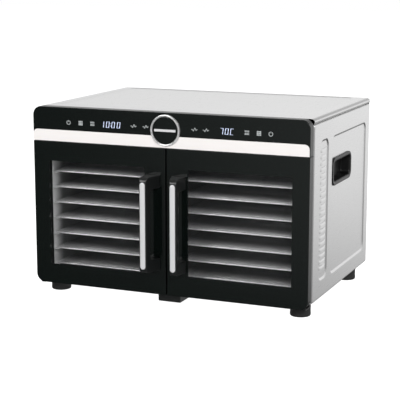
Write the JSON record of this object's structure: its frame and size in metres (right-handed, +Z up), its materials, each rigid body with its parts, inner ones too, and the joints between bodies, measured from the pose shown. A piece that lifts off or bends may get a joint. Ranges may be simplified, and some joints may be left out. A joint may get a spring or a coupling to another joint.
{
  "type": "food dehydrator",
  "caption": "Two-zone food dehydrator: steel cabinet with twin glass doors, stacked wire trays, touch panel, and a fan and ring heater behind each chamber.",
  "frame": {"origin": "middle of the overall bounding box in plan, on the plane that the feet stand on", "axes": "+X to the right as one stands in front of the doors, +Y to the back, +Z up"},
  "size_m": [0.56, 0.4366, 0.3696],
  "materials": {
    "outer_steel": "brushed, satin",
    "inner_steel": "plain rolled sheet, satin",
    "black_plastic": "fine moulded texture, satin",
    "black_gloss": "gloss black glass print",
    "door_glass": "clear toughened glass with a black printed border",
    "band": "fine brushed, warm white",
    "badge_chrome": "polished ring round a black disc",
    "tray_wire": "bright polished wire",
    "strip_steel": "satin strip",
    "rubber": "matt moulded",
    "circuit_board": "green solder mask",
    "motor_case": "pressed can, satin",
    "fan_blade": "pressed sheet, satin",
    "heater_tube": "heat-tinted sheath"
  },
  "bodies": {
    "cabinet": {"top_cover": "outer_steel", "side_panel_left": "outer_steel", "side_panel_right": "outer_steel", "rear_panel": "outer_steel", "base_pan": "inner_steel", "chamber_ceiling": "inner_steel", "chamber_floor": "inner_steel", "rack_wall_left": "inner_steel", "rack_wall_right": "inner_steel", "centre_divider": "inner_steel", "fan_guard_left": "inner_steel", "fan_guard_right": "inner_steel", "motor_bulkhead": "inner_steel", "front_frame": "black_plastic", "control_housing": "black_plastic", "power_inlet": "black_plastic", "centre_support": "black_plastic", "hinge_lower_left": "black_plastic", "hinge_lower_right": "black_plastic", "hinge_upper_left": "black_plastic", "hinge_upper_right": "black_plastic", "grip_left": "black_plastic", "grip_right": "black_plastic", "control_glass": "black_gloss", "trim_band": "band", "badge": "badge_chrome", "foot_front_left": "rubber", "foot_front_right": "rubber", "foot_rear_left": "rubber", "foot_rear_right": "rubber", "control_board": "circuit_board", "power_board": "circuit_board", "fan_motor_left": "motor_case", "fan_motor_right": "motor_case", "heater_left": "heater_tube", "heater_right": "heater_tube"},
    "door_left": {"door_glass_left": "door_glass", "door_frame_left": "black_plastic", "handle_left": "black_plastic", "handle_strip_left": "strip_steel"},
    "door_right": {"door_glass_right": "door_glass", "door_frame_right": "black_plastic", "handle_right": "black_plastic", "handle_strip_right": "strip_steel"},
    "fan_left": {"fan_left": "fan_blade"},
    "fan_right": {"fan_right": "fan_blade"},
    "tray_left_1": {"tray_left_1": "tray_wire"},
    "tray_left_2": {"tray_left_2": "tray_wire"},
    "tray_left_3": {"tray_left_3": "tray_wire"},
    "tray_left_4": {"tray_left_4": "tray_wire"},
    "tray_left_5": {"tray_left_5": "tray_wire"},
    "tray_left_6": {"tray_left_6": "tray_wire"},
    "tray_left_7": {"tray_left_7": "tray_wire"},
    "tray_right_1": {"tray_right_1": "tray_wire"},
    "tray_right_2": {"tray_right_2": "tray_wire"},
    "tray_right_3": {"tray_right_3": "tray_wire"},
    "tray_right_4": {"tray_right_4": "tray_wire"},
    "tray_right_5": {"tray_right_5": "tray_wire"},
    "tray_right_6": {"tray_right_6": "tray_wire"},
    "tray_right_7": {"tray_right_7": "tray_wire"}
  },
  "joints": [
    {"name": "door_left_hinge", "type": "hinge", "parent": "cabinet", "child": "door_left", "pos_m": [-0.27, -0.166, 0.1627], "axis": [0, 0, -1], "range_deg": [0, 105]},
    {"name": "door_right_hinge", "type": "hinge", "parent": "cabinet", "child": "door_right", "pos_m": [0.27, -0.166, 0.1627], "axis": [0, 0, 1], "range_deg": [0, 105]},
    {"name": "fan_left_spin", "type": "hinge", "parent": "cabinet", "child": "fan_left", "pos_m": [-0.132, 0.172, 0.1565], "axis": [0, 1, 0], "continuous": true},
    {"name": "fan_right_spin", "type": "hinge", "parent": "cabinet", "child": "fan_right", "pos_m": [0.132, 0.172, 0.1565], "axis": [0, 1, 0], "continuous": true},
    {"name": "tray_left_1_slide", "type": "slide", "parent": "cabinet", "child": "tray_left_1", "axis": [0, -1, 0], "range_m": [0, 0.006]},
    {"name": "tray_left_2_slide", "type": "slide", "parent": "cabinet", "child": "tray_left_2", "axis": [0, -1, 0], "range_m": [0, 0.006]},
    {"name": "tray_left_3_slide", "type": "slide", "parent": "cabinet", "child": "tray_left_3", "axis": [0, -1, 0], "range_m": [0, 0.006]},
    {"name": "tray_left_4_slide", "type": "slide", "parent": "cabinet", "child": "tray_left_4", "axis": [0, -1, 0], "range_m": [0, 0.006]},
    {"name": "tray_left_5_slide", "type": "slide", "parent": "cabinet", "child": "tray_left_5", "axis": [0, -1, 0], "range_m": [0, 0.006]},
    {"name": "tray_left_6_slide", "type": "slide", "parent": "cabinet", "child": "tray_left_6", "axis": [0, -1, 0], "range_m": [0, 0.006]},
    {"name": "tray_left_7_slide", "type": "slide", "parent": "cabinet", "child": "tray_left_7", "axis": [0, -1, 0], "range_m": [0, 0.006]},
    {"name": "tray_right_1_slide", "type": "slide", "parent": "cabinet", "child": "tray_right_1", "axis": [0, -1, 0], "range_m": [0, 0.006]},
    {"name": "tray_right_2_slide", "type": "slide", "parent": "cabinet", "child": "tray_right_2", "axis": [0, -1, 0], "range_m": [0, 0.006]},
    {"name": "tray_right_3_slide", "type": "slide", "parent": "cabinet", "child": "tray_right_3", "axis": [0, -1, 0], "range_m": [0, 0.006]},
    {"name": "tray_right_4_slide", "type": "slide", "parent": "cabinet", "child": "tray_right_4", "axis": [0, -1, 0], "range_m": [0, 0.006]},
    {"name": "tray_right_5_slide", "type": "slide", "parent": "cabinet", "child": "tray_right_5", "axis": [0, -1, 0], "range_m": [0, 0.006]},
    {"name": "tray_right_6_slide", "type": "slide", "parent": "cabinet", "child": "tray_right_6", "axis": [0, -1, 0], "range_m": [0, 0.006]},
    {"name": "tray_right_7_slide", "type": "slide", "parent": "cabinet", "child": "tray_right_7", "axis": [0, -1, 0], "range_m": [0, 0.006]}
  ]
}
